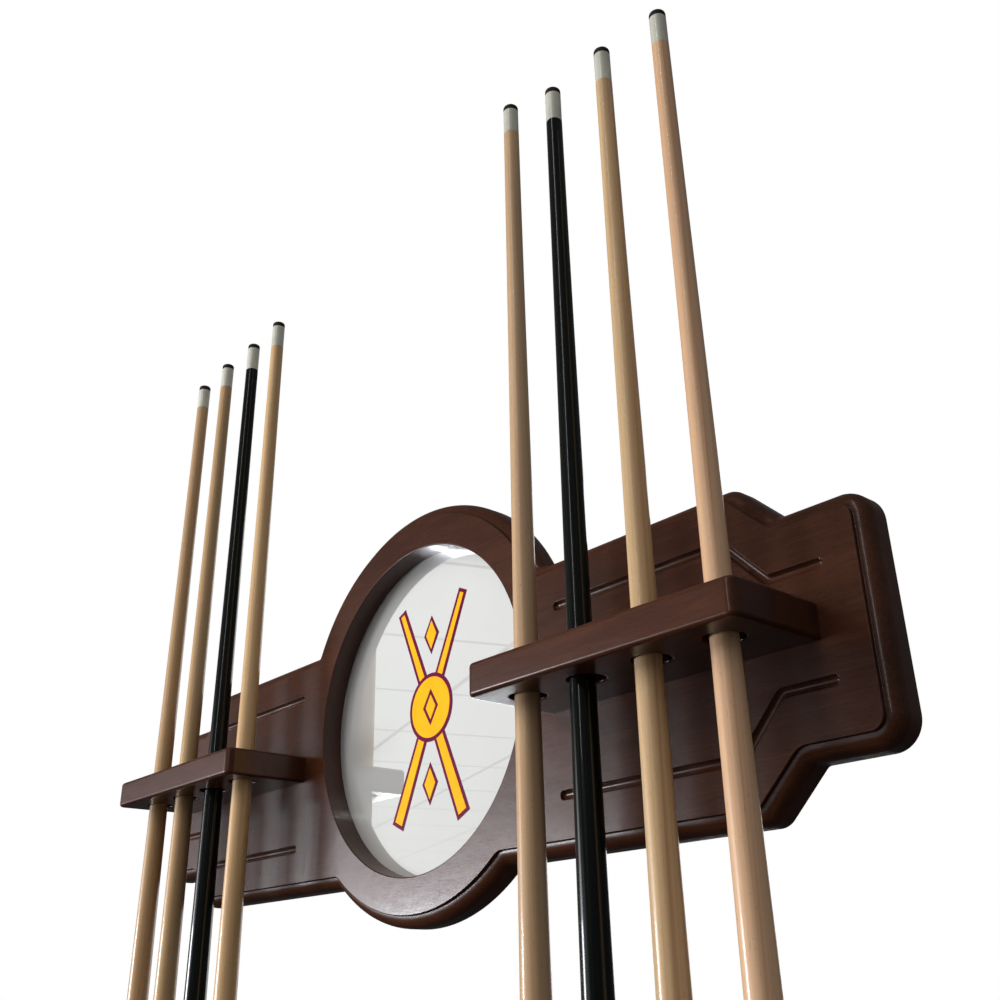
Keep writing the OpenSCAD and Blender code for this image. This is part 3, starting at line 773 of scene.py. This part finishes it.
MAHOG_U = mahogany("mahogany_upper", 3)
MAHOG_L = mahogany("mahogany_lower", 8)
MAHOG_S = [mahogany("mahogany_shelf_%d" % i, 20 + i, tint=(1.0, 0.98, 0.98)) for i in range(4)]
M_TIP, M_FERRULE, M_RUBBER, M_MIRROR = leather_tip(), ferrule_mat(), rubber_mat(), mirror_mat()
M_HARD, M_STEEL, M_BEECH, M_FELT = hardboard_mat(), steel_mat(), beech_mat(), felt_mat()
M_MAROON = print_mat("print_maroon", (0.150, 0.006, 0.048), (0.175, 0.008, 0.058))
M_GOLD = print_mat("print_gold", (0.95, 0.48, 0.012), (1.0, 0.54, 0.018))

# --------------------------------------------------------------------- build
UPPER_GROOVES = []
for sx in (-1, 1):
    for s in (-1, 1):
        path = [(178, WING_Z + s * 69.0), (334, WING_Z + s * 69.0), (366, WING_Z + s * 35.5), (403.5, WING_Z + s * 35.5)]
        path = soften(path, 6.0)
        UPPER_GROOVES.append([(sx * x, z) for x, z in path])
LOWER_GROOVES = [[(-330.0, REST_Z + s * 34.0), (330.0, REST_Z + s * 34.0)] for s in (-1, 1)]

board("upper_backboard", upper_outline(), UPPER_GROOVES, HANGER_Z[0], SHELF_Z, True, [MAHOG_U])
board("lower_backboard", lower_outline(), LOWER_GROOVES, HANGER_Z[1], CUP_TOP - CUP_SHELF_T / 2, False, [MAHOG_L])
shelf("left_cue_shelf", -1, SHELF_Z - SHELF_T / 2, SHELF_T, False, [MAHOG_S[0]])
shelf("right_cue_shelf", 1, SHELF_Z - SHELF_T / 2, SHELF_T, False, [MAHOG_S[1]])
shelf("left_cup_shelf", -1, CUP_TOP - CUP_SHELF_T, CUP_SHELF_T, True, [MAHOG_S[2]])
shelf("right_cup_shelf", 1, CUP_TOP - CUP_SHELF_T, CUP_SHELF_T, True, [MAHOG_S[3]])

# glass with a fine ground edge
mk = Maker()
rows = [(GLASS_R - 0.4, GLASS_Y), (GLASS_R, GLASS_Y + 0.4), (GLASS_R, GLASS_Y + GLASS_T - 0.4), (GLASS_R - 0.4, GLASS_Y + GLASS_T)]
gl = [mk.add([(p[0], y, p[1]) for p in circle_pts(0, 0, r, 144)]) for r, y in rows]
for a, b in zip(gl, gl[1:]):
    mk.band(a, b)
mk.fill(gl[0], [], (0, 2))
mk.fill(gl[-1], [], (0, 2))
mk.build("mirror_glass", [M_MIRROR], "rack", ["mirror_glass"])

# cues
LIGHT, MID, DARK = (0.70, 0.49, 0.285), (0.62, 0.41, 0.225), (0.47, 0.285, 0.14)
KINDS = {
    "l1": ((0.532, 0.356, 0.195), (0.456, 0.29, 0.147), (0.342, 0.195, 0.0902), None, 0, 0.45),
    "l2": ((0.532, 0.351, 0.18), (0.456, 0.285, 0.138), (0.342, 0.195, 0.0855), None, 0, 0.45),
    "l4": ((0.665, 0.446, 0.237), (0.57, 0.366, 0.176), (0.437, 0.257, 0.114), None, 0, 0.5),
    "r1": ((0.608, 0.408, 0.242), (0.522, 0.337, 0.185), (0.399, 0.237, 0.123), None, 0, 0.4),
    "r3": ((0.655, 0.461, 0.261), (0.58, 0.385, 0.199), (0.418, 0.252, 0.123), (0.342, 0.19, 0.0808), -0.45, 0.55),
    "r4": ((0.741, 0.484, 0.299), (0.665, 0.418, 0.247), (0.541, 0.299, 0.171), (0.361, 0.152, 0.0712), -0.75, 0.5),
}
for side in ("l", "r"):
    for i in range(1, 5):
        key = side + str(i)
        body = "cue_" + key
        blo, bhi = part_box("cue_%s_tip" % key)
        c = ((blo.x + bhi.x) * 500.0, (blo.y + bhi.y) * 500.0)
        tip = bhi.z * 1000.0
        seed = 40 + i + (10 if side == "r" else 0)
        n = tip - STAND_Z
        b = n - BUTT_LEN
        black = key in ("l3", "r2")
        r0 = cue_r(0)
        flo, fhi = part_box("cue_%s_ferrule" % key)
        fl = (fhi.z - flo.z) * 1000.0
        # leather tip: a straight, slightly pressed side under a low round crown
        prof = [(0, -TIP_H), (r0 - 0.25, -TIP_H), (r0 - 0.05, -TIP_H + 0.25), (r0 - 0.01, -TIP_H + 0.9), (r0 - 0.01, -3.4), (r0 - 0.04, -2.7)]
        prof += [(r0 * cosd(a) ** 0.72 - 0.05, -2.6 + 2.6 * sind(a)) for a in (6, 14, 22, 30, 38, 46, 54, 62, 70, 78, 85)]
        prof += [(0, 0.0)]
        lathe("cue_%s_tip" % key, prof, c, tip, [M_TIP], body, ["cue_%s_tip" % key])
        f0, f1 = -TIP_H, -TIP_H - fl
        prof = [(0, f0), (r0 - 0.1, f0), (r0, f0 - 0.1), (r0, f1 + 0.1), (r0 - 0.1, f1), (4.1, f1), (4.1, -TIP_H - 6), (0, -TIP_H - 6)]
        lathe("cue_%s_ferrule" % key, prof, c, tip, [M_FERRULE], body, ["cue_%s_ferrule" % key])
        a0 = TIP_H + fl
        prof = [(0, -TIP_H - 6.2), (4.05, -TIP_H - 6.2), (4.05, -a0), (cue_r(a0 / n) - 0.1, -a0), (cue_r(a0 / n), -a0 - 0.15)]
        for k in range(1, 41):
            s = a0 + (b - a0) * k / 40
            prof.append((cue_r(s / n), -s + (0.12 if k == 40 else 0)))
        prof += [(cue_r(b / n) - 0.12, -b), (7, -b), (7, -b - 40), (0, -b - 40)]
        if black:
            shaft_mat = butt_mat = black_gloss("black_%s" % key, seed)
        else:
            li, mi, da, st, at, strong = KINDS[key]
            shaft_mat = maple("maple_%s" % key, seed, li, mi, da, st, at, c, strong)
            butt_mat = butt_wood("butt_%s" % key, seed + 5, c, (tip - b - 12) * 0.001, (tip - b - 200) * 0.001, li, mi, da, (0.050, 0.017, 0.009))
        lathe("cue_%s_shaft" % key, prof, c, tip, [shaft_mat], body, ["cue_%s_shaft" % key])
        e = n - BUMPER_H
        prof = [(0, -b - 40.2), (7.05, -b - 40.2), (7.05, -b), (cue_r(b / n) - 0.12, -b), (cue_r(b / n), -b - 0.12)]
        for k in range(1, 21):
            s = b + (e - b) * k / 20
            prof.append((cue_r(s / n) - (0.9 if k == 20 else 0), -s))
        prof.insert(-1, (cue_r((e - 1.2) / n), -e + 1.2))
        prof += [(4.05, -e), (4.05, -e + 14), (0, -e + 14)]
        lathe("cue_%s_butt" % key, prof, c, tip, [butt_mat], body, ["cue_%s_butt" % key])
        prof = [(0, -n), (9.2, -n), (10.2, -n + 0.35), (11.4, -n + 1.3), (12.1, -n + 2.6)]
        prof += [(12.5, -n + 4.2), (12.75, -n + 6.4), (12.55, -n + 7.0), (12.55, -n + 7.6), (12.9, -n + 8.2)]
        prof += [(13.0, -e - 1), (12.8, -e), (4, -e), (4, -e + 13.5), (0, -e + 13.5)]
        lathe("cue_%s_bumper" % key, prof, c, tip, [M_RUBBER], body, ["cue_%s_bumper" % key])

# carried-over CAD nodes get the finished materials
for node, material in {
    "mirror_back_panel": M_HARD,
    "back_panel_screws": M_STEEL,
    "emblem_border": M_MAROON,
    "emblem_fill": M_GOLD,
    "shelf_screws": M_STEEL,
    "shelf_dowels": M_BEECH,
    "keyhole_plates": M_STEEL,
    "keyhole_screws": M_STEEL,
    "cup_felts": M_FELT,
}.items():
    ob = NODES[node]
    if not ob.material_slots:
        ob.data.materials.append(material)
    for s in ob.material_slots:
        s.material = material

# ----------------------------------------------------------------- the stage
floor_z = -1.46
me = bpy.data.meshes.new("floor")
bm = bmesh.new()
nn = 96
rings = []
for r in (0.0, 1.5, 3.0, 6.0, 12.0):
    if r == 0:
        rings.append([bm.verts.new((0, -0.4, floor_z))])
    else:
        rings.append([bm.verts.new((r * cosd(360 * i / nn), -0.4 + r * sind(360 * i / nn), floor_z)) for i in range(nn)])
for a, b in zip(rings, rings[1:]):
    for i in range(nn):
        j = (i + 1) % nn
        if len(a) == 1:
            bm.faces.new((a[0], b[i], b[j]))
        else:
            bm.faces.new((a[i], b[i], b[j], a[j]))
bm.to_mesh(me)
bm.free()
floor = bpy.data.objects.new("floor", me)
SCENE.collection.objects.link(floor)
m = Nodes("floor")
v = m.noise(m.mapped((3, 3, 3)), 1.0, 3.0, 0.5)
m.set(Base_Color=m.ramp(v, [(0.3, (0.78, 0.78, 0.775)), (0.7, (0.82, 0.82, 0.815))]), Roughness=m.span(v, 0.3, 0.7, 0.65, 0.75))
m.set(Emission_Color=(1.0, 0.995, 0.985, 1.0), Emission_Strength=0.42)
m.mat.cycles.emission_sampling = "NONE"
me.materials.append(m.mat)
floor.visible_diffuse = False
floor.visible_glossy = False

# soft studio surroundings: paler overhead and to the left, white behind
world = bpy.data.worlds.new("studio")
SCENE.world = world
world.use_nodes = True
nt = world.node_tree
nt.nodes.clear()
out = nt.nodes.new("ShaderNodeOutputWorld")
white = nt.nodes.new("ShaderNodeBackground")
mixs = nt.nodes.new("ShaderNodeMixShader")
lp = nt.nodes.new("ShaderNodeLightPath")
tc = nt.nodes.new("ShaderNodeTexCoord")
sep = nt.nodes.new("ShaderNodeSeparateXYZ")
nt.links.new(tc.outputs["Generated"], sep.inputs[0])


def wmath(op, a, b=0.0, clamp=False):
    n = nt.nodes.new("ShaderNodeMath")
    n.operation = op
    n.use_clamp = clamp
    for k, q in ((0, a), (1, b)):
        if isinstance(q, bpy.types.NodeSocket):
            nt.links.new(q, n.inputs[k])
        else:
            n.inputs[k].default_value = q
    return n.outputs[0]


def wspan(v, a, b, c, d):
    n = nt.nodes.new("ShaderNodeMapRange")
    n.clamp = True
    n.interpolation_type = "SMOOTHSTEP"
    nt.links.new(v, n.inputs["Value"])
    for k, q in (("From Min", a), ("From Max", b), ("To Min", c), ("To Max", d)):
        n.inputs[k].default_value = q
    return n.outputs["Result"]


def vdot(v):
    n = nt.nodes.new("ShaderNodeVectorMath")
    n.operation = "DOT_PRODUCT"
    nt.links.new(tc.outputs["Generated"], n.inputs[0])
    n.inputs[1].default_value = Vector(v).normalized()
    return n.outputs["Value"]


def background(level, colour):
    ramp = nt.nodes.new("ShaderNodeValToRGB")
    ramp.color_ramp.elements[0].color = (0.0, 0.0, 0.0, 1)
    ramp.color_ramp.elements[1].color = (*colour, 1)
    nt.links.new(level, ramp.inputs["Fac"])
    n = nt.nodes.new("ShaderNodeBackground")
    nt.links.new(ramp.outputs["Color"], n.inputs["Color"])
    n.inputs["Strength"].default_value = 1.0
    return n


# what satin surfaces see: a dim room with a bright low window to the left and a
# weaker one in front
pane = wspan(vdot((-0.775, -0.63, 0.015)), 0.972, 0.999, 0.0, 1.0)
rest = wspan(sep.outputs[2], -0.5, 0.5, 0.006, 0.018)
low = wspan(vdot((-0.42, -0.90, -0.10)), 0.958, 0.990, 0.0, 0.20)
glossy = background(wmath("ADD", wmath("ADD", pane, low), rest, True), (0.93, 0.95, 1.0))
glossy.inputs["Strength"].default_value = 5.0
# what the mirror sees: a pale room under a tiled ceiling
high = wmath("MAXIMUM", sep.outputs[2], 0.04)
side_x = wmath("DIVIDE", sep.outputs[0], high)
side_y = wmath("DIVIDE", sep.outputs[1], high)


def tiles(a, b, pitch, w):
    q = wmath("ADD", wmath("MULTIPLY", side_x, a / pitch), wmath("MULTIPLY", side_y, b / pitch))
    d = wmath("ABSOLUTE", wmath("SUBTRACT", wmath("FRACT", q), 0.5))
    return wspan(d, 0.5 - w, 0.5 - w * 0.4, 0.0, 1.0)


lines = wmath("MAXIMUM", tiles(0.94, 0.34, 0.62, 0.022), tiles(-0.34, 0.94, 0.62, 0.022))
lines = wmath("MULTIPLY", lines, wspan(sep.outputs[2], 0.06, 0.18, 0.03, 0.24))
walls = wmath("ADD", wspan(sep.outputs[2], -0.40, 0.02, 0.50, 0.68), wspan(sep.outputs[2], 0.05, 0.4, 0.0, 0.05))
# seen by the wood through the mirror it is dimmer than seen in the mirror itself
deep = wmath("MAXIMUM", lp.outputs["Diffuse Depth"], wmath("SUBTRACT", lp.outputs["Glossy Depth"], 1.0), True)
dim = wmath("SUBTRACT", 1.0, wmath("MULTIPLY", deep, 0.78), True)
mirror_sees = background(wmath("MULTIPLY", wmath("SUBTRACT", walls, lines), dim), (1.0, 0.995, 0.975))
# what matt surfaces see: an even pale room
soft = wspan(sep.outputs[2], -0.45, 0.5, 0.06, 0.38)
diffuse = background(soft, (1.0, 0.98, 0.955))
white.inputs["Color"].default_value = (1, 1, 1, 1)
white.inputs["Strength"].default_value = 1.0
mixg = nt.nodes.new("ShaderNodeMixShader")
mixm = nt.nodes.new("ShaderNodeMixShader")
nt.links.new(lp.outputs["Is Singular Ray"], mixm.inputs[0])
nt.links.new(glossy.outputs[0], mixm.inputs[1])
nt.links.new(mirror_sees.outputs[0], mixm.inputs[2])
nt.links.new(lp.outputs["Is Glossy Ray"], mixg.inputs[0])
nt.links.new(diffuse.outputs[0], mixg.inputs[1])
nt.links.new(mixm.outputs[0], mixg.inputs[2])
nt.links.new(lp.outputs["Is Camera Ray"], mixs.inputs[0])
nt.links.new(mixg.outputs[0], mixs.inputs[1])
nt.links.new(white.outputs[0], mixs.inputs[2])
nt.links.new(mixs.outputs[0], out.inputs["Surface"])


def area(name, at, to, w, h, power, colour=(1, 1, 1), spread=180, glossy=True):
    li = bpy.data.lights.new(name, "AREA")
    li.shape = "RECTANGLE"
    li.size, li.size_y = w, h
    li.energy = power
    li.color = colour
    li.spread = math.radians(spread)
    o = bpy.data.objects.new(name, li)
    SCENE.collection.objects.link(o)
    o.visible_camera = False
    o.visible_glossy = glossy
    d = Vector(to) - Vector(at)
    o.matrix_world = Matrix.Translation(at) @ d.to_track_quat("-Z", "Y").to_matrix().to_4x4()
    return o


area("front", (-1.50, -1.95, 1.30), (-0.1, -0.05, -0.1), 2.0, 1.4, 60, (1.0, 0.965, 0.92), glossy=False)
area("fill", (-1.00, -2.40, -0.45), (0.1, -0.05, -0.3), 0.55, 0.8, 8, (1.0, 0.96, 0.92), glossy=False)
area("strip", (0.62, -2.5, 1.75), (0.2, 0.0, 0.1), 0.10, 2.8, 13, (1.0, 1.0, 1.0))
area("low_left", (-1.92, -1.74, -0.20), (0.0, 0.0, -0.14), 0.70, 0.40, 28, (0.92, 0.94, 1.0))
area("back", (-0.9, 2.4, 0.5), (0.0, 0.0, -0.3), 1.6, 1.6, 20, (1.0, 0.99, 0.97))

# ---------------------------------------------------------------- the camera
yaw, pitch, roll = (math.radians(q) for q in (48.783, 25.457, -1.084))
f = Vector((-math.sin(yaw) * math.cos(pitch), math.cos(yaw) * math.cos(pitch), math.sin(pitch)))
r0 = Vector((math.cos(yaw), math.sin(yaw), 0.0))
u0 = r0.cross(f)
r = r0 * math.cos(roll) + u0 * math.sin(roll)
u = u0 * math.cos(roll) - r0 * math.sin(roll)
cam = bpy.data.cameras.new("camera")
cam.sensor_width = 36.0
cam.sensor_fit = "HORIZONTAL"
cam.lens = 36.0 * 1109.88 / 1000.0
cam.shift_x = (500.0 - 498.32) / 1000.0
cam.shift_y = (474.39 - 500.0) / 1000.0
cam.clip_start, cam.clip_end = 0.02, 60.0
camera = bpy.data.objects.new("camera", cam)
SCENE.collection.objects.link(camera)
camera.matrix_world = Matrix(
    ((r.x, u.x, -f.x, 0.748), (r.y, u.y, -f.y, -0.57836), (r.z, u.z, -f.z, -0.22913), (0, 0, 0, 1))
)
SCENE.camera = camera
SCENE.view_settings.view_transform = "Standard"
SCENE.view_settings.look = "None"
SCENE.view_settings.exposure = 0.0
SCENE.view_settings.gamma = 1.0

bpy.context.view_layer.update()
